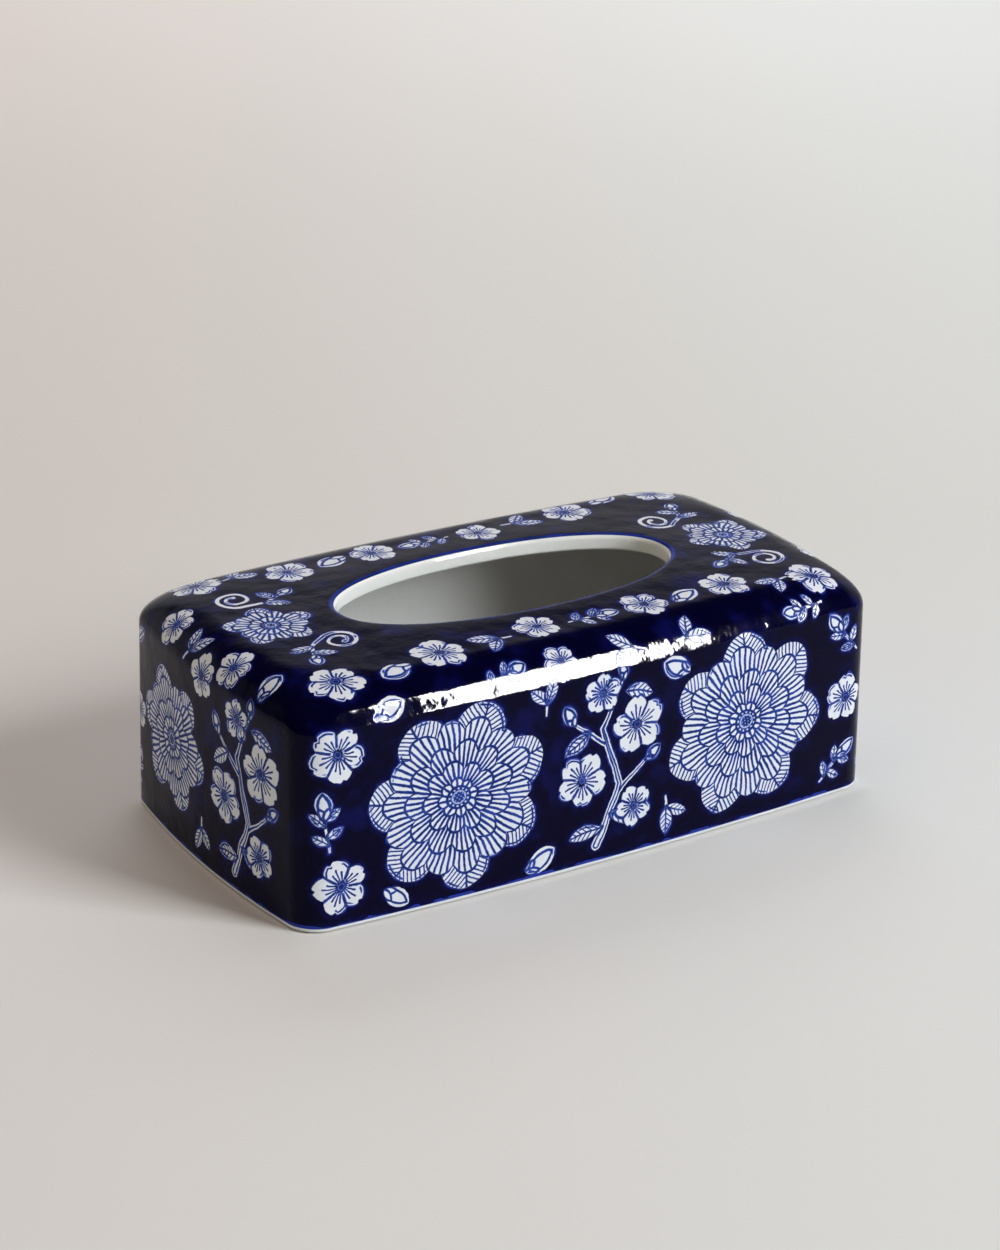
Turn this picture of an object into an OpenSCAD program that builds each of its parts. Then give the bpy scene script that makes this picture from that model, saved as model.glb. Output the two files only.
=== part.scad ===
// Slip-cast porcelain cover that stands over a flat carton of tissues.
// One hollow casting, open underneath, with an oval mouth in its top, on four clear corner pads.
// Origin: centre of the footprint, on the surface that the pads stand on. X is the long way, Z is up.

/* [Cover] */
// Overall length at the foot, across the bowed short sides
length = 270; // [220:1:320]
// Overall width at the foot, across the bowed long sides
width = 150; // [130:1:200]
// Height of the casting, from its foot to the crest of its top
height = 91.5; // [70:0.5:140]

/* [Outline] */
// How far the middle of each long side stands out beyond its ends
long_side_bow = 4.75; // [0:0.25:8]
// How far the middle of each short side stands out beyond its ends
short_side_bow = 6; // [0:0.25:8]
// Radius of the upright corners, outside
corner_radius = 10; // [8:0.5:16]
// Lean of the walls between foot and shoulder, for release from the mould
wall_lean = 1; // [0:0.25:2]

/* [Shoulder] */
// How far the rounded shoulder runs in from the wall
shoulder_run = 18; // [12:0.5:20]
// How far the rounded shoulder drops below the top
shoulder_drop = 14; // [12:0.5:20]
// Radius of the corners in plan where the shoulder meets the top
top_corner_radius = 31; // [24:0.5:34]
// Rise of the top from the shoulder to the mouth
top_crown = 0.75; // [0:0.25:3]

/* [Wall] */
// Thickness of the side walls
wall = 6; // [5:0.25:8]
// Thickness of the top
top_wall = 7; // [6:0.25:9]
// Radius of the upright corners, inside
inner_corner_radius = 6; // [4:0.5:12]
// Radius of the fillet between the walls and the ceiling, inside
ceiling_fillet = 10; // [5:0.5:14]

/* [Mouth] */
// Length of the oval mouth
mouth_length = 147; // [110:1:156]
// Width of the oval mouth
mouth_width = 64; // [45:1:70]
// How oval the mouth is: 1 is a true ellipse, and less fills out towards a rectangle
mouth_oval_share = 0.93; // [0.8:0.01:1]
// Rounding of the mouth's upper edge
mouth_upper_round = 2.5; // [1:0.25:3]
// Rounding of the mouth's lower edge
mouth_lower_round = 1.5; // [0.5:0.25:2]

/* [Foot] */
// Rounding of the foot's outer edge
foot_outer_round = 0.75; // [0.5:0.25:1.5]
// Rounding of the foot's inner edge
foot_inner_round = 1; // [0.5:0.25:1.5]

/* [Pads] */
// Diameter of each corner pad
pad_diameter = 5; // [3:0.25:5]
// Thickness of each corner pad
pad_thickness = 0.6; // [0.4:0.1:2]
// Width of the bevel round each pad's lower edge
pad_bevel = 0.2; // [0.1:0.05:0.3]

/* [Hidden] */

cobalt_glaze = [0.05, 0.06, 0.26];
clear_silicone = [0.86, 0.87, 0.86];

// Number of segments along each part of a quarter of the outline, and along each part of the section
short_side_steps = 6;
corner_steps = 6;
long_side_steps = 9;
shoulder_steps = 9;
top_steps = 4;
round_steps = 3;
fillet_steps = 5;
pad_facets = 64;

// Heights above the surface that the pads stand on
foot_z = pad_thickness;
crest_z = foot_z + height;
shoulder_end_z = crest_z - top_crown;
shoulder_start_z = shoulder_end_z - shoulder_drop;
mouth_floor_z = crest_z - top_wall;
ceiling_edge_z = shoulder_end_z - top_wall;

// Half sizes of the outline's square corners, before its sides bow out
half_length = length / 2 - short_side_bow;
half_width = width / 2 - long_side_bow;

// A quarter of a rounded rectangle, from the middle of its right side to the middle of its back
function quarter_outline(a, b, r) = concat(
    [for (i = [0:short_side_steps - 1]) [a, (b - r) * i / short_side_steps]],
    [for (i = [0:corner_steps]) let (turn = 90 * i / corner_steps)
        [a - r + r * cos(turn), b - r + r * sin(turn)]],
    [for (i = [1:long_side_steps]) [(a - r) * (1 - i / long_side_steps), b]]
);

// All four quarters of a figure that mirrors in both axes, from one of them
function whole_outline(quarter) = let (last = len(quarter) - 1) concat(
    quarter,
    [for (i = [last - 1:-1:0]) [-quarter[i].x, quarter[i].y]],
    [for (i = [1:last]) [-quarter[i].x, -quarter[i].y]],
    [for (i = [last - 1:-1:1]) [quarter[i].x, -quarter[i].y]]
);

// Bows the sides of an outline whose square corners lie at a and b
function bowed(points, a, b) = [for (p = points) [
    p.x + short_side_bow * (1 - pow(p.y / b, 2)) * p.x / a,
    p.y + long_side_bow * (1 - pow(p.x / a, 2)) * p.y / b
]];

// The cover's plan, set in from the foot's outline, with corners of radius r
function plan(inset, r) = let (a = half_length - inset, b = half_width - inset)
    bowed(whole_outline(quarter_outline(a, b, r)), a, b);

// A cosine or sine drawn towards its ends, which fills out an ellipse
function filled_out(value) = sign(value) * pow(abs(value), mouth_oval_share);

// The mouth's oval, grown by a margin, with its points opposite those of the plan
function mouth(margin) = [
    for (p = whole_outline(quarter_outline(half_length, half_width, corner_radius)))
        let (turn = atan2(p.y / half_width, p.x / half_length))
        [
            (mouth_length / 2 + margin) * filled_out(cos(turn)),
            (mouth_width / 2 + margin) * filled_out(sin(turn))
        ]
];

// A flat figure lifted to height z
function lifted(points, z) = [for (p = points) [p.x, p.y, z]];

// The figure a share of the way from one outline to another
function between(from, to, share) = [for (k = [0:len(from) - 1]) from[k] + (to[k] - from[k]) * share];

// Rise of the crowned top a share of the way from the shoulder to the mouth
function crown_rise(share) = top_crown * (1 - cos(180 * share)) / 2;

shoulder_end_plan = plan(wall_lean + shoulder_run, top_corner_radius);
ceiling_plan = plan(wall_lean + wall + ceiling_fillet, inner_corner_radius + ceiling_fillet);

// Rings of the foot's rounded outer edge
foot_rings = [
    for (i = [0:round_steps])
        let (turn = 90 * i / round_steps, inset = foot_outer_round * (1 - sin(turn)))
        lifted(plan(inset, corner_radius - inset), foot_z + foot_outer_round * (1 - cos(turn)))
];

// Rings of the shoulder, an upright quarter of an ellipse whose corners open out as it rises
shoulder_rings = [
    for (i = [0:shoulder_steps])
        let (turn = 90 * i / shoulder_steps, share = 1 - cos(turn))
        let (inset = wall_lean + shoulder_run * share)
        let (radius = corner_radius + (top_corner_radius - corner_radius) * share)
        lifted(plan(inset, radius), shoulder_start_z + shoulder_drop * sin(turn))
];

// Rings of the top, from the shoulder to the mouth's rounded edge
top_rings = [
    for (i = [1:top_steps])
        let (share = i / top_steps, z = shoulder_end_z + crown_rise(share))
        lifted(between(shoulder_end_plan, mouth(mouth_upper_round), share), z)
];

// Rings of the mouth's rounded upper edge
mouth_upper_rings = [
    for (i = [1:round_steps])
        let (turn = 90 * i / round_steps, z = crest_z - mouth_upper_round * (1 - cos(turn)))
        lifted(mouth(mouth_upper_round * (1 - sin(turn))), z)
];

// Rings of the mouth's rounded lower edge
mouth_lower_rings = [
    for (i = [0:round_steps])
        let (turn = 90 * i / round_steps, z = mouth_floor_z + mouth_lower_round * (1 - sin(turn)))
        lifted(mouth(mouth_lower_round * (1 - cos(turn))), z)
];

// Rings of the ceiling, from the mouth out to the fillet
ceiling_rings = [
    for (i = [1:top_steps])
        let (share = i / top_steps, z = ceiling_edge_z + crown_rise(1 - share))
        lifted(between(mouth(mouth_lower_round), ceiling_plan, share), z)
];

// Rings of the fillet between the ceiling and the walls
fillet_rings = [
    for (i = [1:fillet_steps])
        let (turn = 90 * i / fillet_steps, inset = ceiling_fillet * (1 - sin(turn)))
        let (z = ceiling_edge_z - ceiling_fillet * (1 - cos(turn)))
        lifted(plan(wall_lean + wall + inset, inner_corner_radius + inset), z)
];

// Rings of the foot's rounded inner edge
inner_foot_rings = [
    for (i = [0:round_steps])
        let (turn = 90 * i / round_steps, outset = foot_inner_round * (1 - cos(turn)))
        lifted(plan(wall - outset, inner_corner_radius + outset), foot_z + foot_inner_round * (1 - sin(turn)))
];

// A closed skin over rings of equally many points, the last joined to the first
module ring_skin(rings) {
    ring_count = len(rings);
    point_count = len(rings[0]);
    polyhedron(
        points = [for (ring = rings) each ring],
        faces = [
            for (i = [0:ring_count - 1], k = [0:point_count - 1])
                let (next_i = (i + 1) % ring_count, next_k = (k + 1) % point_count)
                each [
                    [i * point_count + k, next_i * point_count + k, next_i * point_count + next_k],
                    [i * point_count + k, next_i * point_count + next_k, i * point_count + next_k]
                ]
        ]
    );
}

module porcelain_cover() {
    color(cobalt_glaze)
        ring_skin(concat(
            foot_rings,
            shoulder_rings,
            top_rings,
            mouth_upper_rings,
            mouth_lower_rings,
            ceiling_rings,
            fillet_rings,
            inner_foot_rings
        ));
}

// Middle of the foot's land, on the diagonal of the corner where x and y are positive
corner_point = short_side_steps + corner_steps / 2;
pad_centre = (plan(0, corner_radius)[corner_point] + plan(wall, inner_corner_radius)[corner_point]) / 2;

// A self-adhesive pad under one corner of the foot, on the side of X and of Y that the signs give
module foot_pad(x_sign, y_sign) {
    radius = pad_diameter / 2;
    color(clear_silicone)
        translate([x_sign * pad_centre.x, y_sign * pad_centre.y, 0])
            rotate_extrude($fn = pad_facets)
                polygon([
                    [0, 0],
                    [radius - pad_bevel, 0],
                    [radius, pad_bevel],
                    [radius, pad_thickness],
                    [0, pad_thickness]
                ]);
}

porcelain_cover();
foot_pad(-1, -1);  // foot_pad_front_left
foot_pad(1, -1);  // foot_pad_front_right
foot_pad(-1, 1);  // foot_pad_back_left
foot_pad(1, 1);  // foot_pad_back_right
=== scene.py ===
# %% [markdown]
# # A blue and white porcelain cover for tissues
# The real object is one hollow casting of white porcelain. A decorator paints it with cobalt, leaves the
# flowers and leaves in reserve, fills in their fine lines, and it is fired under a clear glaze. The packed
# frame gives its size, so the frame is loaded first, and everything after it is made in metres at the place
# where the frame has it.

# %% Load the frame
import functools
import math

import bmesh
import bpy
import numpy as np
from mathutils import Euler, Matrix, Vector
from mathutils.bvhtree import BVHTree


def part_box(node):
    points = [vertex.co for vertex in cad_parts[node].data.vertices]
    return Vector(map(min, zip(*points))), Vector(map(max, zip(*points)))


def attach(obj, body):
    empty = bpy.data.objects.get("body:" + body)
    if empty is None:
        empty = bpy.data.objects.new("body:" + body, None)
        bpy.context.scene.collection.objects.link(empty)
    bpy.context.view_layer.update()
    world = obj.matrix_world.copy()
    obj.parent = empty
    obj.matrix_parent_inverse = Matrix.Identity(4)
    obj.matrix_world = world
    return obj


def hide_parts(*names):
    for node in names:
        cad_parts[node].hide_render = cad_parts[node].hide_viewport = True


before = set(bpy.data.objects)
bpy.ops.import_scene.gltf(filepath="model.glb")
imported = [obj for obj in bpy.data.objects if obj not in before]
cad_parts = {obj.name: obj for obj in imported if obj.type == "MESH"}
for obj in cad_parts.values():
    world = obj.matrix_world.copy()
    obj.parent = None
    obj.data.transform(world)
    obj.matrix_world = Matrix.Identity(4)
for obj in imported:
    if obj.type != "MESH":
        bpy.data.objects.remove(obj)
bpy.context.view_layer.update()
MM = 0.001
print("pieces in the frame:", sorted(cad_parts))

# %% [markdown]
# ## Camera
# The camera comes first, so that each step can be looked at from where the picture was taken. A long lens
# from about 1.2 m keeps the far end nearly as large as the near one. The lens is given for a 36 mm sensor
# on the picture's long side, and the camera is turned by a heading, a tilt and a small roll, which is
# easier to read than a matrix.

# %% Place the camera
CAMERA_PLACE = Vector((-593.8, -919.9, 520.8)) * MM
CAMERA_HEADING = math.radians(-32.736)
CAMERA_TILT = math.radians(-22.307)
CAMERA_ROLL = math.radians(1.049)
LENS = 86.65
SENSOR = 36

scene = bpy.context.scene
camera = bpy.data.objects.new("camera", bpy.data.cameras.new("camera"))
camera.data.lens = LENS
camera.data.sensor_width = SENSOR
aim = Euler((math.radians(90) + CAMERA_TILT, 0, CAMERA_HEADING)).to_matrix()
aim = aim @ Matrix.Rotation(CAMERA_ROLL, 3, "Z")
camera.matrix_world = Matrix.Translation(CAMERA_PLACE) @ aim.to_4x4()
scene.collection.objects.link(camera)
scene.camera = camera
scene.view_settings.view_transform = "Standard"
print("camera to the middle of the foot:", round(camera.matrix_world.translation.length, 3), "m")

# %% [markdown]
# ## Sizes of the casting
# A slip-cast wall has no flat face or sharp edge: the sides bow out, the shoulder is a quarter of an
# ellipse whose corners open out as it rises, and the foot and the mouth are sponged round. Overall sizes
# come from the frame, so that the piece can't drift away from the solid, and the rest are the casting's own
# sizes in millimetres.

# %% Name the sizes
cover_low, cover_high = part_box("porcelain_cover")
LENGTH = (cover_high.x - cover_low.x) / MM
WIDTH = (cover_high.y - cover_low.y) / MM
FOOT_Z = cover_low.z / MM
CREST_Z = cover_high.z / MM
LONG_SIDE_BOW = 4.75
SHORT_SIDE_BOW = 6.0
CORNER_RADIUS = 10.0
WALL_LEAN = 1.0
SHOULDER_RUN = 18.0
SHOULDER_DROP = 14.0
TOP_CORNER_RADIUS = 31.0
TOP_CROWN = 0.75
WALL = 6.0
TOP_WALL = 7.0
INNER_CORNER_RADIUS = 6.0
CEILING_FILLET = 10.0
MOUTH_LENGTH = 147.0
MOUTH_WIDTH = 64.0
MOUTH_OVAL = 0.93
MOUTH_UPPER_ROUND = 2.5
MOUTH_LOWER_ROUND = 1.5
FOOT_OUTER_ROUND = 0.75
FOOT_INNER_ROUND = 1.0

half_length = LENGTH / 2 - SHORT_SIDE_BOW
half_width = WIDTH / 2 - LONG_SIDE_BOW
shoulder_top_z = CREST_Z - TOP_CROWN
shoulder_foot_z = shoulder_top_z - SHOULDER_DROP
ceiling_z = shoulder_top_z - TOP_WALL
print(f"casting {LENGTH:.1f} x {WIDTH:.1f} mm, from {FOOT_Z:.2f} to {CREST_Z:.2f} mm above the table")

# %% [markdown]
# ## Outlines
# Every level of the casting is one outline, either the bowed rectangle or the oval of the mouth. Both have
# the same number of points, each opposite its partner, so that a skin can run from one to the other without
# twisting. The steps are close enough, about 2 mm, for the painting to be divided among the faces later.

# %% Draw the two kinds of outline
SHORT_SIDE_STEPS = 30
CORNER_STEPS = 16
LONG_SIDE_STEPS = 58


def quarter_outline(a, b, radius):
    """A quarter of a rounded rectangle, from the middle of its right side to the middle of its back."""
    side = [(a, (b - radius) * i / SHORT_SIDE_STEPS) for i in range(SHORT_SIDE_STEPS)]
    turns = [math.pi / 2 * i / CORNER_STEPS for i in range(CORNER_STEPS + 1)]
    corner = [(a - radius + radius * math.cos(t), b - radius + radius * math.sin(t)) for t in turns]
    back = [((a - radius) * (1 - i / LONG_SIDE_STEPS), b) for i in range(1, LONG_SIDE_STEPS + 1)]
    return side + corner + back


def whole_outline(quarter):
    """All four quarters of a figure that mirrors in both axes, anticlockwise."""
    left_back = [(-x, y) for x, y in quarter[-2::-1]]
    left_front = [(-x, -y) for x, y in quarter[1:]]
    right_front = [(x, -y) for x, y in quarter[-2:0:-1]]
    return quarter + left_back + left_front + right_front


def plan(inset, radius):
    """The casting's outline, set in from that of its foot."""
    a, b = half_length - inset, half_width - inset
    return [
        (x + SHORT_SIDE_BOW * (1 - (y / b) ** 2) * x / a, y + LONG_SIDE_BOW * (1 - (x / a) ** 2) * y / b)
        for x, y in whole_outline(quarter_outline(a, b, radius))
    ]


def filled_out(value):
    """A cosine or sine drawn towards its ends, which makes an ellipse a little squarer."""
    return math.copysign(abs(value) ** MOUTH_OVAL, value)


def mouth(margin):
    """The mouth's oval, grown by a margin."""
    points = []
    for x, y in whole_outline(quarter_outline(half_length, half_width, CORNER_RADIUS)):
        turn = math.atan2(y / half_width, x / half_length)
        across = (MOUTH_LENGTH / 2 + margin) * filled_out(math.cos(turn))
        points.append((across, (MOUTH_WIDTH / 2 + margin) * filled_out(math.sin(turn))))
    return points


def between(start, end, share):
    """The outline a share of the way from one to another."""
    return [(x + (u - x) * share, y + (v - y) * share) for (x, y), (u, v) in zip(start, end)]


print("points in an outline:", len(plan(0, CORNER_RADIUS)), "and", len(mouth(0)))

# %% [markdown]
# ## Levels outside
# The section of the casting is one closed line: up the wall, over the shoulder, across the top, down
# through the mouth, back along the ceiling and down the inside to the foot. Each level is an outline at a
# height, with the name of the finish on the strip that leads up to it. On rounded edges the levels lie at
# equal turns, so they are closest where the section bends most.

# %% List the levels from the foot up to the mouth
FOOT_STEPS, WALL_STEPS, SHOULDER_STEPS, TOP_STEPS, MOUTH_STEPS = 6, 38, 18, 15, 8
BARE_FOOT_TURN = math.radians(50)
levels = []


def add_level(finish, points, z):
    levels.append((finish, points, z))


def quarter_turns(steps, first=0):
    return [math.pi / 2 * i / steps for i in range(first, steps + 1)]


for turn in quarter_turns(FOOT_STEPS):
    inset = FOOT_OUTER_ROUND * (1 - math.sin(turn))
    finish = "bare" if turn < BARE_FOOT_TURN else "painted"
    add_level(finish, plan(inset, CORNER_RADIUS - inset), FOOT_Z + FOOT_OUTER_ROUND * (1 - math.cos(turn)))
for share in (i / WALL_STEPS for i in range(1, WALL_STEPS)):
    rise = FOOT_Z + FOOT_OUTER_ROUND + (shoulder_foot_z - FOOT_Z - FOOT_OUTER_ROUND) * share
    add_level("painted", plan(WALL_LEAN * share, CORNER_RADIUS), rise)
for turn in quarter_turns(SHOULDER_STEPS):
    share = 1 - math.cos(turn)
    radius = CORNER_RADIUS + (TOP_CORNER_RADIUS - CORNER_RADIUS) * share
    rise = shoulder_foot_z + SHOULDER_DROP * math.sin(turn)
    add_level("painted", plan(WALL_LEAN + SHOULDER_RUN * share, radius), rise)
shoulder_outline = levels[-1][1]
for share in (i / TOP_STEPS for i in range(1, TOP_STEPS + 1)):
    rise = shoulder_top_z + TOP_CROWN * (1 - math.cos(math.pi * share)) / 2
    add_level("painted", between(shoulder_outline, mouth(MOUTH_UPPER_ROUND), share), rise)
for turn in quarter_turns(MOUTH_STEPS, first=1):
    outline = mouth(MOUTH_UPPER_ROUND * (1 - math.sin(turn)))
    add_level("painted", outline, CREST_Z - MOUTH_UPPER_ROUND * (1 - math.cos(turn)))
narrowest_level = len(levels) - 1
print("levels outside:", len(levels))

# %% [markdown]
# ## Levels inside
# The levels go on through the mouth and down the inside, which follows the outside at the thickness of the
# casting. A hollow that is only hinted at would do for the walls, but what shows through the mouth is lit
# by light that bounces about inside, so the whole of it is there. The last level is the first one again,
# which closes the section under the foot.

# %% List the levels from the mouth down to the foot
CEILING_STEPS, FILLET_STEPS, INNER_WALL_STEPS = 8, 8, 8

for turn in quarter_turns(MOUTH_STEPS):
    outline = mouth(MOUTH_LOWER_ROUND * (1 - math.cos(turn)))
    add_level("white", outline, CREST_Z - TOP_WALL + MOUTH_LOWER_ROUND * (1 - math.sin(turn)))
ceiling_outline = plan(WALL_LEAN + WALL + CEILING_FILLET, INNER_CORNER_RADIUS + CEILING_FILLET)
for share in (i / CEILING_STEPS for i in range(1, CEILING_STEPS + 1)):
    rise = ceiling_z + TOP_CROWN * (1 + math.cos(math.pi * share)) / 2
    add_level("white", between(mouth(MOUTH_LOWER_ROUND), ceiling_outline, share), rise)
for turn in quarter_turns(FILLET_STEPS, first=1):
    inset = CEILING_FILLET * (1 - math.sin(turn))
    outline = plan(WALL_LEAN + WALL + inset, INNER_CORNER_RADIUS + inset)
    add_level("white", outline, ceiling_z - CEILING_FILLET * (1 - math.cos(turn)))
inner_top_z = levels[-1][2]
inner_foot_z = FOOT_Z + FOOT_INNER_ROUND
for share in (i / INNER_WALL_STEPS for i in range(1, INNER_WALL_STEPS)):
    outline = plan(WALL_LEAN * (1 - share) + WALL, INNER_CORNER_RADIUS)
    add_level("white", outline, inner_top_z + (inner_foot_z - inner_top_z) * share)
for turn in quarter_turns(FOOT_STEPS):
    outset = FOOT_INNER_ROUND * (1 - math.cos(turn))
    finish = "white" if turn < BARE_FOOT_TURN else "bare"
    outline = plan(WALL - outset, INNER_CORNER_RADIUS + outset)
    add_level(finish, outline, FOOT_Z + FOOT_INNER_ROUND * (1 - math.sin(turn)))
_, first_outline, first_z = levels[0]
add_level("bare", first_outline, first_z)
print("levels in all:", len(levels))

# %% [markdown]
# ## The skin
# A circle of edges is laid on the first level and extruded from level to level, as a potter would raise a
# wall ring by ring. A subdivided box would need its corners and its oval hole forced into place, while a
# skin of rings follows the casting's real section and leaves clean strips for the painting.

# %% Raise the skin ring by ring
FINISHES = ["bare", "white", "painted"]
shell = bmesh.new()
from_foot = shell.verts.layers.float.new("from_foot_mm")
from_mouth = shell.verts.layers.float.new("from_mouth_mm")


def place_ring(ring, points, z):
    for vert, (x, y) in zip(ring, points):
        vert.co = Vector((x, y, z)) * MM


def next_ring(ring):
    """Extrudes a closed ring of edges. Returns the new ring's points, in the same order, and its faces."""
    edges = [shell.edges.get((ring[i - 1], ring[i])) for i in range(len(ring))]
    made = set(bmesh.ops.extrude_edge_only(shell, edges=edges)["geom"])
    partners = [next(e.other_vert(v) for e in v.link_edges if e.other_vert(v) in made) for v in ring]
    return partners, [part for part in made if isinstance(part, bmesh.types.BMFace)]


ring = bmesh.ops.create_circle(shell, segments=len(first_outline), radius=LENGTH * MM)["verts"]
place_ring(ring, first_outline, first_z)
rings = [ring]
for finish, points, z in levels[1:]:
    ring, faces = next_ring(ring)
    place_ring(ring, points, z)
    for face in faces:
        face.material_index = FINISHES.index(finish)
        face.smooth = True
    rings.append(ring)
print("rings:", len(rings), "of", len(ring), "points")

# %% [markdown]
# ## Lengths along the skin
# The white foot, the white lip and the painted shade deeper inside follow the surface, not the height. So
# two lengths are kept on each point: how far it is up from the foot along the skin, and how far it is out
# from the narrowest part of the mouth. After that the last ring is merged with the first at the foot.

# %% Keep the lengths and close the skin
MERGE = 0.001 * MM

for lower_ring, upper_ring in zip(rings, rings[1:]):
    for lower, upper in zip(lower_ring, upper_ring):
        upper[from_foot] = lower[from_foot] + (upper.co - lower.co).length / MM
for ring in rings:
    for vert, lip_vert in zip(ring, rings[narrowest_level]):
        vert[from_mouth] = lip_vert[from_foot] - vert[from_foot]
bmesh.ops.remove_doubles(shell, verts=rings[0] + rings[-1], dist=MERGE)
bmesh.ops.recalc_face_normals(shell, faces=shell.faces)
print("open edges:", sum(edge.is_boundary for edge in shell.edges))

# %% [markdown]
# ## The same order each run
# Extruding may store the points and faces in another order each time the script runs. That never shows,
# but two exports of the cover could not be compared line by line. So the points are numbered ring by ring
# and stored in that order, and the edges and faces are sorted by the numbers of their points. The frame's
# own casting has fewer facets, so its corners are measured against the finished skin as a check.

# %% Store the skin in a fixed order and check it
skin_points = [vert for ring in rings for vert in ring if vert.is_valid]
for number, vert in enumerate(skin_points):
    vert.index = number
shell.verts.sort()


def place_in_order(part):
    """A number of its own for each edge or face, from the numbers of its points."""
    numbers = [vert.index for vert in part.verts]
    return max(numbers) * len(skin_points) + sum(numbers) / len(numbers)


for parts in (shell.edges, shell.faces):
    parts.sort(key=place_in_order)

skin = BVHTree.FromBMesh(shell)
off = max(skin.find_nearest(v.co)[3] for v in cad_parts["porcelain_cover"].data.vertices)
print("points, edges and faces:", len(shell.verts), len(shell.edges), len(shell.faces))
print(f"farthest corner of the frame's casting from the skin: {off / MM:.3f} mm")

# %% [markdown]
# ## Where the painting goes
# Decorators lay out a pot by placing the large flowers first, then the branches, and then filling the gaps
# with blossoms and sprigs. The list does the same. Each motif has a place near the surface, in shares of
# half the length, half the width and the full height, with a turn in degrees and a size. A random scatter
# would be less work, but would leave holes and collisions. The same painting is repeated with half a turn
# of the cover, so the back is as full as the front.

# %% List the motifs
REACH = {
    "chrysanthemum": (39.0, 39.0),
    "small_chrysanthemum": (29.5, 29.5),
    "button_chrysanthemum": (18.5, 18.5),
    "blossom": (12.5, 12.5),
    "sprig": (15.0, 9.5),
    "bud": (9.0, 6.2),
    "leaves": (11.0, 8.5),
    "scroll": (20.0, 12.0),
    "spray": (28.5, 39.5),
}
HALF_PAINTING = [
    # The front wall, from left to right
    ("sprig", -0.905, -1.0, 0.480, 84, 0.95),
    ("blossom", -0.850, -1.0, 0.190, 15, 1.0),
    ("blossom", -0.855, -0.99, 0.760, 40, 1.0),
    ("bud", -0.680, -1.0, 0.090, -35, 0.8),
    ("chrysanthemum", -0.490, -1.0, 0.465, 8, 1.0),
    ("bud", -0.222, -1.0, 0.095, 30, 0.95),
    ("leaves", -0.215, -1.0, 0.820, 100, 0.85),
    ("spray", 0.005, -1.0, 0.480, 0, 1.0),
    ("leaves", 0.215, -1.0, 0.150, -60, 0.9),
    ("bud", 0.222, -1.0, 0.810, 155, 0.95),
    ("chrysanthemum", 0.480, -1.0, 0.475, -20, 1.0),
    ("sprig", 0.835, -1.0, 0.170, 30, 0.9),
    ("blossom", 0.860, -1.0, 0.455, -10, 0.9),
    ("sprig", 0.840, -0.98, 0.760, 120, 0.9),
    # The left wall, from front to back
    ("spray", -1.0, -0.415, 0.480, 0, 1.0),
    ("small_chrysanthemum", -1.0, 0.345, 0.470, 10, 1.0),
    ("leaves", -1.0, 0.000, 0.140, -80, 0.85),
    ("blossom", -1.0, -0.010, 0.860, 10, 0.8),
    ("sprig", -0.98, 0.880, 0.170, 60, 0.85),
    ("blossom", -1.0, 0.830, 0.455, 70, 0.7),
    ("leaves", -0.98, 0.830, 0.800, 70, 0.9),
    # The front half of the top, beside the mouth
    ("blossom", -0.790, -0.720, 1.0, 20, 1.0),
    ("bud", -0.620, -0.760, 1.0, -160, 1.0),
    ("blossom", -0.455, -0.680, 1.0, -12, 1.0),
    ("leaves", -0.290, -0.680, 1.0, 190, 1.0),
    ("blossom", -0.125, -0.640, 1.0, 8, 0.85),
    ("sprig", 0.055, -0.660, 1.0, -10, 0.9),
    ("blossom", 0.235, -0.660, 1.0, 35, 0.9),
    ("bud", 0.375, -0.660, 1.0, 25, 1.0),
    ("blossom", 0.525, -0.640, 1.0, -15, 0.95),
    ("leaves", 0.660, -0.735, 1.0, 205, 0.85),
    ("blossom", 0.800, -0.745, 1.0, 5, 1.0),
    # The front shoulder
    ("sprig", -0.330, -0.930, 0.930, 8, 0.8),
    ("blossom", -0.150, -0.930, 0.930, 30, 0.7),
    ("leaves", 0.060, -0.930, 0.930, 170, 0.9),
    ("leaves", 0.290, -0.930, 0.930, 25, 0.9),
    ("bud", -0.690, -0.930, 0.900, 20, 0.95),
    ("sprig", 0.690, -0.930, 0.915, 172, 0.8),
    # The left end of the top, and its shoulder
    ("scroll", -0.700, -0.350, 1.0, 35, 0.92),
    ("button_chrysanthemum", -0.760, 0.040, 1.0, 0, 1.05),
    ("scroll", -0.700, 0.400, 1.0, 172, 0.92),
    ("bud", -0.930, -0.520, 0.950, 90, 0.9),
    ("blossom", -0.945, -0.220, 0.930, 0, 0.8),
    ("leaves", -0.950, 0.160, 0.930, 80, 0.9),
    ("blossom", -0.940, 0.420, 0.930, 25, 0.8),
]


def with_its_copy(motif):
    kind, x, y, z, turn, size = motif
    on_top = z == 1.0
    return [motif, (kind, -x, -y, z, turn + (180 if on_top else 0), size)]


painting = [copy for motif in HALF_PAINTING for copy in with_its_copy(motif)]
print("motifs:", len(painting))

# %% [markdown]
# ## Handing the faces to the motifs
# Each motif is drawn on a paper of its own and laid on the surface like a tissue transfer. For that, each
# face is given to the motif that it is nearest to, in shares of the motif's reach, which is a box with
# round corners. The gaps between motifs are plain ground, which hides the joins. One texture for the whole
# cover would need an unwrapped net of it, with seams that the flowers would have to dodge.

# %% Find the nearest motif of each face
TOP_SLOPE = 0.9
BOXY = 3.5
paper = shell.loops.layers.uv.new("paint")


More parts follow.
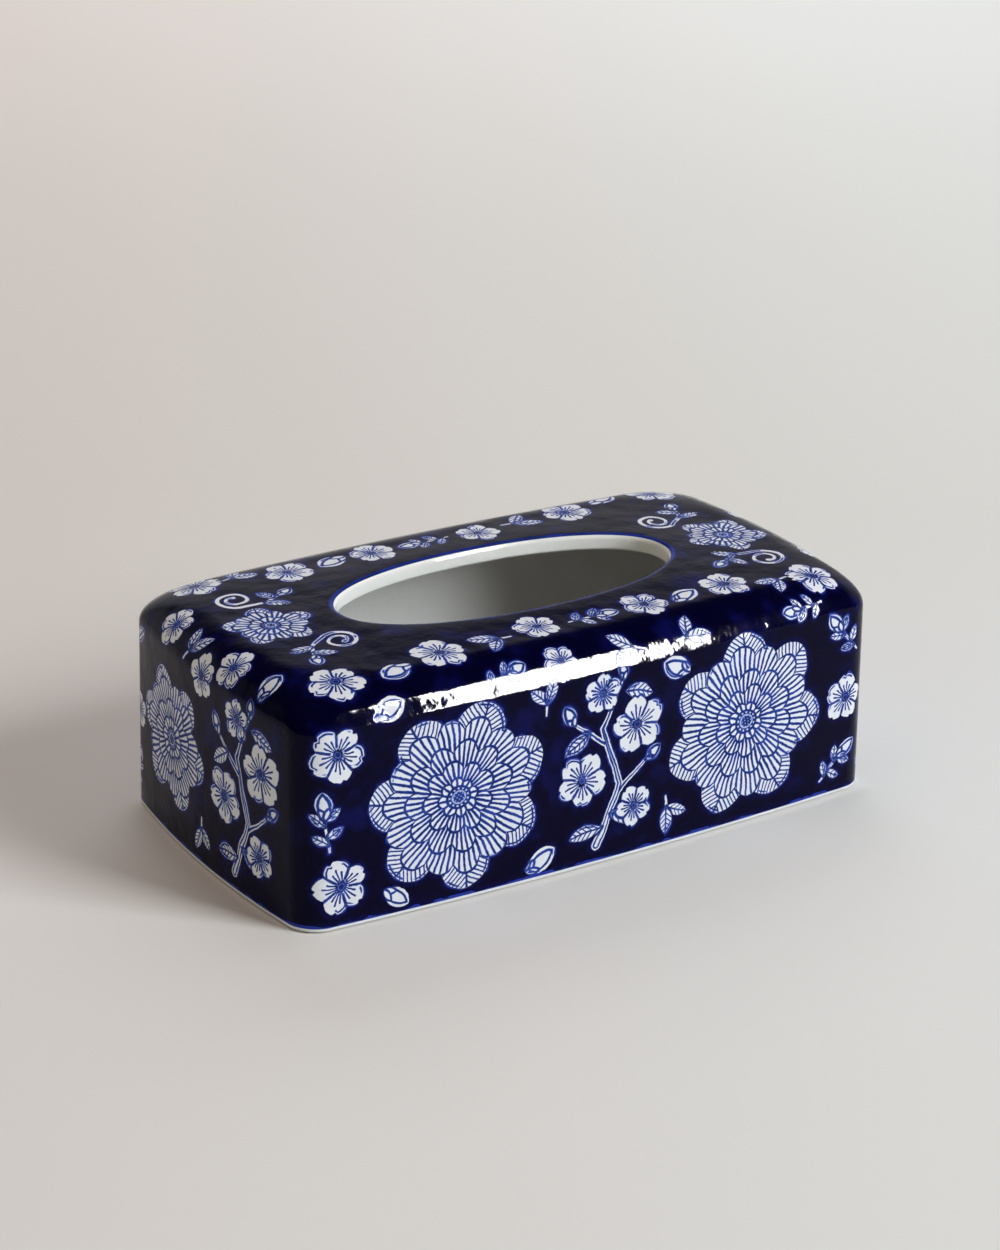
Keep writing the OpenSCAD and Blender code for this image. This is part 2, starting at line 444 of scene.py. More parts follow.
def motif_frame(motif):
    """A motif's middle on the surface, and the directions of its paper's right and up sides."""
    _, x, y, z, turn, _ = motif
    near = Vector((x * LENGTH / 2, y * WIDTH / 2, z * CREST_Z)) * MM
    middle, normal, _, _ = skin.find_nearest(near)
    upright = Vector((0, 1, 0)) if normal.z > TOP_SLOPE else Vector((0, 0, 1))
    up = (upright - normal * upright.dot(normal)).normalized()
    up = Matrix.Rotation(math.radians(turn), 3, normal) @ up
    return middle, up.cross(normal), up


frames = [motif_frame(motif) for motif in painting]
painted_faces = [f for f in shell.faces if f.material_index == FINISHES.index("painted")]
centres = np.array([f.calc_center_median() for f in painted_faces])
nearness = np.empty((len(painted_faces), len(painting)))
for i, ((kind, *_, size), (middle, right, up)) in enumerate(zip(painting, frames)):
    reach_x, reach_y = (r * MM * size for r in REACH[kind])
    away = centres - np.array(middle)
    flat = np.stack([away @ np.array(right), away @ np.array(up)], axis=1)
    stretch = np.linalg.norm(away, axis=1) / np.maximum(np.linalg.norm(flat, axis=1), MERGE)
    across, along = np.abs(flat[:, 0] / reach_x), np.abs(flat[:, 1] / reach_y)
    nearness[:, i] = stretch * (across**BOXY + along**BOXY) ** (1 / BOXY)
nearest = nearness.argmin(axis=1)
print("painted faces:", len(painted_faces), "of which plain ground:", int((nearness.min(axis=1) > 1).sum()))

# %% [markdown]
# ## Laying the papers
# The corners of each face get their place on its motif's paper, in millimetres from the middle. The
# distance is the straight one through the air, so the paper is bent over the shoulder and not stretched.
# Each kind of motif has a material of its own, so the face gets that too. Where two motifs reach for the
# same face, one is cut off in a straight line, so the print counts such faces.

# %% Lay the papers on the skin
KINDS = ["ground"] + list(REACH)
GROUND = FINISHES.index("painted")

for face, number, share in zip(painted_faces, nearest, nearness.min(axis=1)):
    if share > 1:
        face.material_index = GROUND
        continue
    middle, right, up = frames[number]
    kind, *_, size = painting[number]
    face.material_index = GROUND + KINDS.index(kind)
    for loop in face.loops:
        away = loop.vert.co - middle
        flat = Vector((away.dot(right), away.dot(up)))
        if flat.length > MERGE:
            flat *= away.length / flat.length
        loop[paper].uv = flat / MM / size
second_nearest = np.partition(nearness, 1, axis=1)[:, 1]
for i, motif in enumerate(painting[::2]):
    shared = (nearness[:, 2 * i] <= 1) & (second_nearest <= 1)
    print(motif[0], motif[1:4], "on", int((nearest == 2 * i).sum()), "faces, shared:", int(shared.sum()))

# %% [markdown]
# ## The piece
# The finished skin becomes one piece that stands for the frame's casting, and it moves with the one body
# there is.

# %% Make the piece
cover_mesh = bpy.data.meshes.new("painted_cover")
shell.to_mesh(cover_mesh)
shell.free()
cover = bpy.data.objects.new("painted_cover", cover_mesh)
scene.collection.objects.link(cover)
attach(cover, "root")
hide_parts("porcelain_cover")
print("triangles in the piece:", sum(len(p.vertices) - 2 for p in cover_mesh.polygons))

# %% [markdown]
# ## Sums on wires
# A painted motif is worked out by a material, from distances on its paper: a petal is where a distance is
# under a size, and a line is where it is near a value. That takes many Math nodes, and writing sums is
# shorter than placing them by hand. This small class turns each sum in Python into the node that works it
# out.

# %% Make sums add nodes
def connect(tree, value, socket):
    """Wires an output to a socket, or sets a plain value on it."""
    if isinstance(value, Wire):
        tree.links.new(value.socket, socket)
    else:
        socket.default_value = value


def add_node(tree, kind, *values, output=0, **settings):
    """Adds a node, wires or sets its first inputs, and returns one of its outputs."""
    node = tree.nodes.new(kind)
    for name, setting in settings.items():
        setattr(node, name, setting)
    for socket, value in zip(node.inputs, values):
        if value is not None:
            connect(tree, value, socket)
    return Wire(tree, node.outputs[output])


class Wire:
    """A number, a place or a colour in a material, on which sums add nodes."""

    def __init__(self, tree, socket):
        self.tree = tree
        self.socket = socket

    def node(self, kind, *values, output=0, **settings):
        return add_node(self.tree, kind, self, *values, output=output, **settings)

    def sum(self, operation, *values):
        return self.node("ShaderNodeMath", *values, operation=operation)

    def vector(self, operation, value):
        """A sum on two places or colours, number by number."""
        return self.node("ShaderNodeVectorMath", value, operation=operation)

    def measured(self, operation, value=None):
        """A sum on places that gives one number, which is the node's second output."""
        return self.node("ShaderNodeVectorMath", value, output=1, operation=operation)

    def __add__(self, other):
        return self.sum("ADD", other)

    def __sub__(self, other):
        return self.sum("SUBTRACT", other)

    def __rsub__(self, other):
        return add_node(self.tree, "ShaderNodeMath", other, self, operation="SUBTRACT")

    def __mul__(self, other):
        return self.sum("MULTIPLY", other)

    def __truediv__(self, other):
        return self.sum("DIVIDE", other)

    def __abs__(self):
        return self.sum("ABSOLUTE")

    def least(self, other):
        return self.sum("MINIMUM", other)

    def most(self, other):
        return self.sum("MAXIMUM", other)

    def from_half(self):
        """How far this number is from the middle between two whole ones, for evenly spaced lines."""
        return abs(self.sum("FRACT") - 0.5)

    def fade(self, start, end):
        """0 up to the start and 1 from the end, or the other way round if the start is the larger."""
        return self.node("ShaderNodeMapRange", start, end, interpolation_type="SMOOTHSTEP")

    def placed(self, x, y, turn=0.0):
        """This place on the paper, as seen from a figure at x and y that is turned by so many degrees."""
        spin = (0, 0, math.radians(turn))
        return self.node("ShaderNodeMapping", (x, y, 0), spin, vector_type="TEXTURE")

    def length(self):
        return self.measured("LENGTH")

    def along(self, x, y):
        """How far this place lies in the direction x, y."""
        return self.measured("DOT_PRODUCT", (x, y, 0))

    def bearing(self):
        """The angle of this place about the middle, in radians."""
        return self.along(0, 1).sum("ARCTAN2", self.along(1, 0))


print("sums on wires are ready")

# %% [markdown]
# ## Mixing and clouds
# Two more helpers are used all over the materials. One mixes two colours by a share. The other is soft
# noise, here called a cloud, whose lumps are given in millimetres. Its values lie about 0.5, so a fade
# between 0.4 and 0.6 turns it into patches. It reads Object coordinates and so runs through the piece
# without a seam, where noise on an unwrapped net would break at the net's edges.

# %% Mix colours and make clouds
MIX_SHARE, MIX_FIRST_COLOUR, MIX_SECOND_COLOUR, MIXED_COLOUR = 0, 6, 7, 2
OBJECT_PLACE = 3


def mixed(share, first, second):
    """A colour that is the first at a share of 0 and the second at a share of 1."""
    node = share.tree.nodes.new("ShaderNodeMix")
    node.data_type = "RGBA"
    for socket, value in ((MIX_SHARE, share), (MIX_FIRST_COLOUR, first), (MIX_SECOND_COLOUR, second)):
        connect(share.tree, value, node.inputs[socket])
    return Wire(share.tree, node.outputs[MIXED_COLOUR])


def cloud(tree, size_mm, detail=0.0, coloured=False):
    """Soft random variation that lies in the piece, with lumps of about the given size."""
    place = add_node(tree, "ShaderNodeTexCoord", output=OBJECT_PLACE)
    wire = place.node("ShaderNodeTexNoise", output=1 if coloured else 0)
    inputs = wire.socket.node.inputs
    inputs["Scale"].default_value = 1 / (size_mm * MM)
    inputs["Detail"].default_value = detail
    return wire


print("colours can be mixed, and clouds made")

# %% [markdown]
# ## A hand-held brush
# A printed line would be even, and a brushed one wavers. The place on the paper is pushed about a little
# before any figure is worked out from it: slowly, for the sway of the hand, and quickly, for the edge of
# the brush.

# %% Waver the paper
SWAY_SIZE, SWAY = 9.0, 1.6
BRISTLE_SIZE, BRISTLE = 1.3, 0.34
MIDDLE_OF_CLOUD = (0.5, 0.5, 0.5)


def brush_place(tree):
    """The place on a motif's paper, in millimetres, with the waver of a hand in it."""
    sheet = add_node(tree, "ShaderNodeUVMap", uv_map="paint")
    for size, amount in ((SWAY_SIZE, SWAY), (BRISTLE_SIZE, BRISTLE)):
        push = cloud(tree, size, coloured=True).vector("SUBTRACT", MIDDLE_OF_CLOUD)
        sheet = sheet.vector("ADD", push.vector("MULTIPLY", (amount, amount, 0)))
    return sheet


print("sway about", round(SWAY / 4, 2), "mm, bristle marks about", round(BRISTLE / 4, 2), "mm")

# %% [markdown]
# ## Rubber stamps
# The same leaf or blossom shows up in many drawings. Each is kept as a node group with a place going in and
# a drawing coming out, which is built once for each set of sizes and then used like a rubber stamp. One
# large tree would look the same, but it would be slow to build and hard to read.

# %% Cut a stamp from a drawing
def stamp(draw):
    """Makes a stamp of a drawing: cut once for each set of sizes, and pressed wherever it is used."""

    @functools.cache
    def cut(*sizes):
        group = bpy.data.node_groups.new(draw.__name__, "ShaderNodeTree")
        group.interface.new_socket("Place", in_out="INPUT", socket_type="NodeSocketVector")
        for name in ("Edge", "Line"):
            group.interface.new_socket(name, in_out="OUTPUT", socket_type="NodeSocketFloat")
        place = Wire(group, group.nodes.new("NodeGroupInput").outputs[0])
        for value, socket in zip(draw(place, *sizes), group.nodes.new("NodeGroupOutput").inputs):
            connect(group, value, socket)
        return group

    def press(place, *sizes):
        node = place.tree.nodes.new("ShaderNodeGroup")
        node.node_tree = cut(*sizes)
        connect(place.tree, place, node.inputs[0])
        return Wire(place.tree, node.outputs[0]), Wire(place.tree, node.outputs[1])

    return press


print("stamps can be cut")

# %% [markdown]
# ## Lines and layers
# Every part of a drawing is two wires. The edge is the distance to the outline in millimetres, below zero
# inside, and the line is 1 where the fine brush has drawn on the white. A drawn line is dark in its middle
# and bleeds a little on both sides, so its share falls slowly there, and the colours use that later. A part
# laid over another hides what is under it and draws its own outline there.

# %% Draw lines and lay parts over each other
LINE = 0.44
SOFT = 0.12
BLEED = 0.34


def lined(distance, width=LINE):
    """1 on a line, where the distance from its middle is small, and less where it bleeds beside it."""
    return distance.fade(width + BLEED, width - SOFT)


def over(under, part):
    """The drawing with another part laid over it."""
    edge, line = under
    part_edge, part_line = part
    inside = part_edge.fade(SOFT, -SOFT)
    kept = (line * (1 - inside)).most(lined(abs(part_edge - LINE)))
    return edge.least(part_edge), kept.most(part_line * inside)


def plain(edge):
    """A part with nothing drawn on it."""
    return edge, edge * 0


print("a drawn line is", 2 * LINE, "mm wide, and bleeds by", BLEED, "mm")

# %% [markdown]
# ## Discs, strokes and curls
# Three simple shapes make up the stems and buds. Each gives the distance to its outline, which needs only
# the nearest point on the middle of the stroke. A curve object laid on the surface would cost thousands of
# faces.

# %% Make discs, strokes and arcs
def disc(place, radius):
    return place.length() - radius


def stroke(place, start, end, width_at_start, width_at_end):
    """A straight tapered stroke."""
    x, y = end[0] - start[0], end[1] - start[1]
    squared = x * x + y * y
    away = place.vector("SUBTRACT", (*start, 0))
    share = away.along(x / squared, y / squared).most(0).least(1)
    foot = share.tree.nodes.new("ShaderNodeVectorMath")
    foot.operation = "SCALE"
    foot.inputs[0].default_value = (x, y, 0)
    connect(share.tree, share, foot.inputs["Scale"])
    gap = away.vector("SUBTRACT", Wire(share.tree, foot.outputs[0])).length()
    return gap - (share * ((width_at_end - width_at_start) / 2) + width_at_start / 2)


def arc(place, radius, sweep, width_at_start, width_at_end):
    """A tapered stroke along part of a circle, with its middle on the right. The sweep is in degrees."""
    half_sweep = math.radians(sweep) / 2
    held = place.bearing().most(-half_sweep).least(half_sweep)
    gap_x = place.along(1, 0) - held.sum("COSINE") * radius
    gap_y = place.along(0, 1) - held.sum("SINE") * radius
    share = held / (2 * half_sweep) + 0.5
    width = share * (width_at_end - width_at_start) + width_at_start
    return (gap_x * gap_x + gap_y * gap_y).sum("SQRT") - width / 2


print("discs, strokes and arcs are ready")

# %% [markdown]
# ## A leaf
# A pointed leaf is the overlap of two large circles. It has a rib down its middle and slanting veins, and
# the brush that draws them is finer on a small leaf.

# %% Draw a leaf
VEIN_PITCH = 2.3
VEIN_SLANT = 0.9
WIDEST_RIB = 0.8
NARROWEST_RIB, RIB_GROWTH = 0.2, 0.035
VEIN_SHARE = 0.85


@stamp
def leaf(place, length, width):
    """A pointed leaf along the paper's right side, from its stalk at zero."""
    middle = place.placed(length / 2, 0)
    across = abs(middle.along(0, 1))
    bulge = (length * length / 4 + width * width / 4) / width
    rim_x = middle.along(1, 0)
    rim_y = across + (bulge - width / 2)
    edge = (rim_x * rim_x + rim_y * rim_y).sum("SQRT") - bulge
    vein = ((rim_x - across * VEIN_SLANT) / VEIN_PITCH).from_half() * VEIN_PITCH
    fine = LINE * min(WIDEST_RIB, NARROWEST_RIB + length * RIB_GROWTH)
    return edge, lined(across, fine).most(lined(vein, fine * VEIN_SHARE))


print("veins are", VEIN_PITCH, "mm apart")

# %% [markdown]
# ## Petals
# A chrysanthemum is rings of narrow petals, and each inner ring lies over the outer one. The petals of a
# ring are one petal, repeated by the angle, with a random length for each so that the outline isn't a cog
# wheel.

# %% Fold the paper into a fan and cut petals
FULL_TURN = 2 * math.pi
PETAL_ROUNDING = 2.2
STROKE_AT_TIP, STROKE_GAIN = 0.8, 0.4


def fan(place, count, turn=0.0):
    """Folds the paper into a fan, so that one drawing shows in every fold, and numbers the folds."""
    turned = place.placed(0, 0, turn)
    part = (turned.bearing() / FULL_TURN + 0.5) * count
    aside = (part.sum("FRACT") - 0.5) * (FULL_TURN / count)
    out = turned.length()
    x, y = out * aside.sum("COSINE"), out * aside.sum("SINE")
    return add_node(place.tree, "ShaderNodeCombineXYZ", x, y), part.sum("FLOOR")


def chance(number):
    """A random share from 0 to 1, the same each time for the same number."""
    return add_node(number.tree, "ShaderNodeTexWhiteNoise", None, number, noise_dimensions="1D")


@stamp
def petals(place, count, tip, notch, strokes, ragged, turn):
    """A ring of petals with its tips so far out, notched between them, each with drawn strokes along it."""
    folded, number = fan(place, count, turn)
    out = folded.length()
    aside = folded.bearing() * (2 * count / FULL_TURN)
    edge = out + chance(number + turn) * ragged + abs(aside).sum("POWER", PETAL_ROUNDING) * notch - tip
    spaces = strokes + 1
    spacing = out * (FULL_TURN / count / spaces)
    stray = ((aside + 1) * (spaces / 2) + 0.5).from_half() * spacing
    return edge, lined(stray, (1 - out / tip) * LINE * STROKE_GAIN + LINE * STROKE_AT_TIP)


print("petals are ready")

# %% [markdown]
# ## The eye of a flower
# The middle of the flower is a ring of beads round a crossed lattice. Both are lines on a white disc,
# worked out from the same fan and the same evenly spaced stripes as the petals.

# %% Draw the eye
BEADS = 13
BEAD_RING = 0.68
LATTICE_PITCH, LATTICE_LINE = 1.25, 0.8
LATTICE_TURNS = (35, -40)


@stamp
def seed_head(place, radius):
    folded, _ = fan(place, BEADS)
    out = folded.length()
    inner = radius * BEAD_RING
    spoke = (FULL_TURN / BEADS / 2 - abs(folded.bearing())) * out
    beads = lined(spoke).most(lined(abs(out - inner))) * (out - inner).fade(-LINE, LINE)
    lattice = place * 0
    for turn in LATTICE_TURNS:
        stripe = (place.placed(0, 0, turn).along(1 / LATTICE_PITCH, 0) + 0.5).from_half() * LATTICE_PITCH
        lattice = lined(stripe, LINE * LATTICE_LINE).most(lattice)
    lattice = lattice * (out - inner).fade(0, -2 * LINE)
    return disc(place, radius), beads.most(lattice)


print("an eye has", BEADS, "beads")

# %% [markdown]
# ## The nine motifs
# Each kind of motif is one drawing, so it gets one material, and it's drawn from back to front. Sizes are
# in millimetres on the paper. The chrysanthemum comes in three sizes, and is drawn as pointed leaves first,
# then its rings of petals from the outside in, then the eye. A ring is given as its number of petals, the
# place of its tips and the depth of its notches in shares of the flower's radius, and the strokes on each
# petal.

# %% Draw the chrysanthemums
LARGE_RINGS = [(14, 1.0, 0.15, 4), (11, 0.72, 0.13, 4), (9, 0.47, 0.10, 3), (8, 0.26, 0.06, 1)]
SMALL_RINGS = [(11, 1.0, 0.16, 4), (9, 0.66, 0.13, 3), (8, 0.36, 0.08, 1)]
BUTTON_RINGS = [(10, 1.0, 0.18, 2), (8, 0.58, 0.13, 1)]
RAGGED = 0.04
RING_TURN = 7
LEAF_TURN, LEAF_START, LEAF_WIDTH = 11, 0.5, 0.66


def chrysanthemum(place, radius, rings, leaves, leaf_reach, eye):
    """Rings of petals about an eye, with pointed leaves showing behind."""
    folded, _ = fan(place, leaves, LEAF_TURN)
    start = radius * LEAF_START
    drawing = leaf(folded.placed(start, 0), leaf_reach - start, radius * LEAF_WIDTH)
    for number, (count, tip, notch, strokes) in enumerate(rings):
        sizes = (radius * tip, radius * notch, strokes, radius * RAGGED, RING_TURN * number)
        drawing = over(drawing, petals(place, count, *sizes))
    return over(drawing, seed_head(place, eye))


print("petals of the large one:", sum(count for count, *_ in LARGE_RINGS))

# %% [markdown]
# ## Plum blossom
# A plum blossom has five round petals, a dark eye and a few stamens that fan out from it. No two petals
# from a brush are alike, so each is a little smaller by chance, and has a nick in its rim at a place of its
# own.

# %% Draw the plum blossom
BLOSSOM_PETALS, BLOSSOM_TURN = 5, 18
PETAL_MIDDLE, PETAL_RADIUS = 0.55, 0.45
SIDE_START = (0.2, 0.3)
NICK_WIDTH, NICK_STRAY = 0.13, 0.3
UNEVEN = 0.08
STAMENS, STAMEN_WIDTHS = ((0, 0.66), (0.3, 0.52), (-0.3, 0.52)), (0.3, 0.8)
EYE = 0.1


@stamp
def blossom(place, radius):
    folded, number = fan(place, BLOSSOM_PETALS, BLOSSOM_TURN)
    luck = chance(number + radius)
    nick = abs(folded.bearing() + luck * NICK_STRAY - NICK_STRAY / 2).fade(NICK_WIDTH, 0.0)
    petal = disc(folded.placed(radius * PETAL_MIDDLE, 0), radius * PETAL_RADIUS)
    petal = petal + (luck + nick) * radius * UNEVEN
    side = (FULL_TURN / BLOSSOM_PETALS / 2 - abs(folded.bearing())) * folded.length()
    line = lined(side) * folded.length().fade(*(radius * share for share in SIDE_START))
    for aside, reach in STAMENS:
        end = (radius * reach, radius * reach * aside)
        line = line.most(stroke(folded, (0, 0), end, *STAMEN_WIDTHS).fade(SOFT, -SOFT))
    eye = disc(place, radius * EYE)
    return over((petal, line), (eye, eye.fade(SOFT, -SOFT)))


print("petals of a blossom:", BLOSSOM_PETALS)

# %% [markdown]
# ## Buds, sprigs and leaf pairs
# These fill the gaps. A bud is a front petal over two others, in a cup of two sepals, and each of these is
# the outline of a leaf without its veins, in shares of the bud's length. A sprig is four leaves and a bud
# on a stalk. What a drawing is made of is kept in lists of places, so that a leaf can be moved without
# touching the rest.

# %% Draw the bud, the sprig and the pair of leaves
BACK_PETALS = 0.66
FRONT_PETAL = (0.86, 0.34)
SEPAL, SEPALS_BACK, SEPAL_TURNS = (0.42, 0.16), 0.08, (24, -24)
STALK_WIDTHS = (0.8, 1.3)
SPRIG_STALK, SPRIG_BUDS = ((-12, -3), (3, 0.5)), [(2.5, 0.3, 8, 10.5)]
SPRIG_LEAVES = [(-9, -2.3, 66, 7.5), (-6.5, -1.7, -52, 7.5), (-1, -0.4, 58, 8.0), (1, 0, -50, 7.5)]
PAIR_STALK, PAIR_OF_LEAVES = ((-9, 1.5), (-3, 0)), [(-4, 0, 38, 11.5), (-4, 0, -30, 12.5)]


@stamp
def bud(place, length):
    """A closed bud along the paper's right side."""
    behind, _ = leaf(place, length, length * BACK_PETALS)
    front, _ = leaf(place, *(length * share for share in FRONT_PETAL))
    drawing = over(plain(behind), plain(front))
    for turn in SEPAL_TURNS:
        sepal, _ = leaf(place.placed(-length * SEPALS_BACK, 0, turn), *(length * share for share in SEPAL))
        drawing = over(drawing, plain(sepal))
    return drawing


def strewn(drawing, place, part, places):
    """Lays a part over a drawing at each of its places, which are given as x, y, turn and size."""
    for x, y, turn, size in places:
        drawing = over(drawing, part(place.placed(x, y, turn), size))
    return drawing


def slim_leaf(slimness):
    """A leaf whose width is a share of its length."""
    return lambda place, length: leaf(place, length, length * slimness)


def sprig(place):
    drawing = plain(stroke(place, *SPRIG_STALK, *STALK_WIDTHS))
    drawing = strewn(drawing, place, slim_leaf(0.5), SPRIG_LEAVES)
    return strewn(drawing, place, bud, SPRIG_BUDS)


def leaves(place):
    stalk = plain(stroke(place, *PAIR_STALK, *STALK_WIDTHS))
    return strewn(stalk, place, slim_leaf(0.48), PAIR_OF_LEAVES)


print("leaves on a sprig:", len(SPRIG_LEAVES))

# %% [markdown]
# ## Scroll
# A scroll is a stem that curls up at one end, and carries two leaves and a bud at the other. The curl is
# made of three half circles, each smaller than the last, because a true spiral needs a search for its
# nearest point. A bent stem or branch is a row of straight strokes, each as thick where it starts as the
# last one ends.

# %% Draw the scroll
CURLS = [(0, -0.5, 0, 7.5, 1.7, 2.0), (0, -2.4, 180, 5.6, 1.5, 1.7), (0, -0.6, 0, 3.8, 1.3, 1.5)]
HALF_CIRCLE = 180
BEAD, BEAD_PLACE = 1.25, (-0.4, -4.0)
SCROLL_STEM, SCROLL_STEM_WIDTHS = [(9, 7), (-3, 6), (-11, 0)], [2.0, 1.9, 1.2]
SCROLL_TIP = (9, 0)
SCROLL_LEAVES = [(-2, 6, 148, 11, 5.2), (-7, 3, -62, 9.5, 4.6)]
SCROLL_BUDS = [(-10, 0.8, 215, 9)]


def bent_stroke(place, bends, widths):
    """Straight strokes from bend to bend."""
    strokes = [stroke(place, *bends[i : i + 2], *widths[i : i + 2]) for i in range(len(bends) - 1)]
    return functools.reduce(Wire.least, strokes)


@stamp
def tendril(place):
    """A curling tip, with a bead at its end."""
    edge = disc(place.placed(*BEAD_PLACE), BEAD)
    for x, y, turn, radius, width_at_start, width_at_end in CURLS:
        edge = edge.least(arc(place.placed(x, y, turn), radius, HALF_CIRCLE, width_at_start, width_at_end))
    return plain(edge)


def scroll(place):
    tip, _ = tendril(place.placed(*SCROLL_TIP))
    drawing = plain(bent_stroke(place, SCROLL_STEM, SCROLL_STEM_WIDTHS).least(tip))
    for x, y, turn, length, width in SCROLL_LEAVES:
        drawing = over(drawing, leaf(place.placed(x, y, turn), length, width))
    return strewn(drawing, place, bud, SCROLL_BUDS)


print("a scroll curls through", len(CURLS), "half circles")

# %% [markdown]
# ## Spray
# The spray is the tallest motif: a crooked branch of plum that gets thinner towards its tip, with a fine
# line just inside its bark and two twigs. Over it come a few leaves, then buds at the tips, and open
# blossoms in front. The dictionary at the end gives each kind of motif its drawing and its size.

# %% Draw the spray
BRANCH, BRANCH_WIDTHS = [(-6, -36), (4, -12), (-4, 12), (6, 34)], [3.6, 2.9, 2.2, 1.2]
TWIGS, TWIG_WIDTHS = [((2, -16), (17, -4)), ((-3, 6), (-17, 17))], (2.2, 1.1)
BARK_LINE_IN, BARK_LINE = 0.85, 0.5
SPRAY_LEAVES = [(-4, -28, 190, 14), (0, -24, -22, 13), (6, 26, -14, 13), (-10, 12, 215, 13)]
SPRAY_BUDS = [(16.5, -4.5, 34, 8), (-17, 17, 118, 8.5), (5.5, 31, 100, 7)]
SPRAY_BLOSSOMS = [(12, 11, 10, 12.5), (-13, -7, 40, 11.5), (11, -23, 25, 9.0), (-4, 27, 0, 8.5)]


def spray(place):
    """A branch of plum with open blossoms, buds and a few leaves."""
    branch = bent_stroke(place, BRANCH, BRANCH_WIDTHS)
    for start, end in TWIGS:
        branch = branch.least(stroke(place, start, end, *TWIG_WIDTHS))
    drawing = (branch, lined(abs(branch + BARK_LINE_IN), LINE * BARK_LINE))
    for part, places in ((slim_leaf(0.46), SPRAY_LEAVES), (bud, SPRAY_BUDS), (blossom, SPRAY_BLOSSOMS)):
        drawing = strewn(drawing, place, part, places)
    return drawing


DRAWINGS = {
    "chrysanthemum": lambda place: chrysanthemum(place, 32, LARGE_RINGS, 7, 37.5, 4.2),
    "small_chrysanthemum": lambda place: chrysanthemum(place, 24, SMALL_RINGS, 6, 28.2, 3.8),
    "button_chrysanthemum": lambda place: chrysanthemum(place, 13.5, BUTTON_RINGS, 5, 17.0, 3.0),
    "blossom": lambda place: blossom(place, 11.2),
    "sprig": sprig,
    "bud": lambda place: bud(place.placed(-7, 0), 14),
    "leaves": leaves,
    "scroll": scroll,
    "spray": spray,
}
print("drawings:", sorted(DRAWINGS))

# %% [markdown]
# ## Colours of the painting
# Cobalt is nearly black where it lies thick and a bright blue where it is thin, and the white under the
# clear glaze is a little cool. The colours are written as the shader takes them, in linear light, where 0.2
# already looks halfway to white. A small helper reads the lengths that the skin keeps, for the bands at the
# foot and the mouth.

# %% Name the colours
DEEP_COBALT = (0.0007, 0.0005, 0.0135, 1)
THIN_COBALT = (0.0026, 0.0034, 0.058, 1)
HALO_BLUE = (0.018, 0.037, 0.30, 1)
LINE_BLUE = (0.009, 0.021, 0.15, 1)
PALE_LINE_BLUE = (0.020, 0.046, 0.27, 1)
BLEED_BLUE = (0.090, 0.18, 0.56, 1)
RESERVED_WHITE = (0.695, 0.722, 0.775, 1)
GLAZE_WHITE = (0.79, 0.80, 0.78, 1)
# Bare clay, browner and darker than the clay alone: painted contact shade at the foot.
BARE_CLAY_AND_SHADE = (0.66, 0.59, 0.49, 1)
ATTRIBUTE_NUMBER = 2


def kept_length(tree, name):
    """A length in millimetres that the skin keeps on its points."""
    return add_node(tree, "ShaderNodeAttribute", output=ATTRIBUTE_NUMBER, attribute_name=name)


print("halo blue is", round(HALO_BLUE[2] / DEEP_COBALT[2]), "times as blue as the deep ground")

# %% [markdown]
# ## The cobalt ground
# The ground is brushed on wet, round the drawings. It thins in patches where the brush ran dry, and round
# each reserved flower, because the glaze carries a little of it away there, down to a broken bright rim.
# The foot is wiped along an even line before the firing, which leaves a white band, and the cobalt just
# above the band is thin, in scallops. At the mouth the ground ends in a blue line beside the white lip.

# %% Brush the ground
PATCH_SIZE, THIN_PATCHES = 16.0, (0.50, 0.75)
RAG_SIZE, RAG = 3.0, 1.2
WASH_REACH, WASH = (3.2, 0.2), 0.7
RIM_SIZE, RIM_REACH, RIM_BREAKS = 7.0, (1.0, 0.1), (0.35, 0.68)
SCALLOP_SIZE, SCALLOPS, SCALLOP = 9.0, (0.38, 0.62), 1.3
FOOT_BAND = 1.9
LIP_BAND = 2.2
LIP_LINE, LIP_LINE_SOFT, LIP_PATCHES = 2.0, 0.8, (0.4, 0.7)


def ground_colour(tree, edge, lip, rise):
    """Cobalt, from the distances to the drawing, to the white lip and to the foot."""
    patches = cloud(tree, PATCH_SIZE, detail=3.0)
    ragged = edge + cloud(tree, RAG_SIZE) * RAG - RAG / 2
    wash = patches.fade(*THIN_PATCHES).most(ragged.fade(*WASH_REACH) * WASH)
    rim = ragged.fade(*RIM_REACH) * cloud(tree, RIM_SIZE).fade(*RIM_BREAKS)
    scallop = cloud(tree, SCALLOP_SIZE, detail=2.0).fade(*SCALLOPS) * SCALLOP
    wiped = (rise - scallop - FOOT_BAND).fade(SOFT, -SOFT)
    ground = mixed(rim.most(wiped), mixed(wash, DEEP_COBALT, THIN_COBALT), HALO_BLUE)
    lip_line = lip.fade(LIP_LINE + LIP_LINE_SOFT, LIP_LINE - LIP_LINE_SOFT)
    return mixed(lip_line, ground, mixed(patches.fade(*LIP_PATCHES), LINE_BLUE, HALO_BLUE))


print("white band over the foot:", FOOT_BAND, "mm")

# %% [markdown]
# ## White and its fine lines
# A decorator goes over the reserved white with a fine brush: the strokes in the petals, and here and there
# a line just inside the outline, which comes and goes as the hand does. The line's middle is dark, and its
# sides bleed into the white as a pale, clear blue. Without that blue the lines look printed, and the
# flowers grey. Below the white band of the foot, the last bit is bare clay, in a colour darker and browner
# than the clay alone, as painted contact shade under the foot.

# %% Draw on the white
OUTLINE_IN, OUTLINE_WIDTH = 0.8, 0.6
OUTLINE_SIZE, OUTLINE_BREAKS = 7.0, (0.52, 0.60)
INK_SIZE, THIN_INK = 6.0, (0.4, 0.75)
BLEEDING, INKED = (0.0, 0.5), (0.5, 1.0)
BLEED_STRENGTH = 0.9
BARE_SHADE_RISE = (0.9, 0.6)


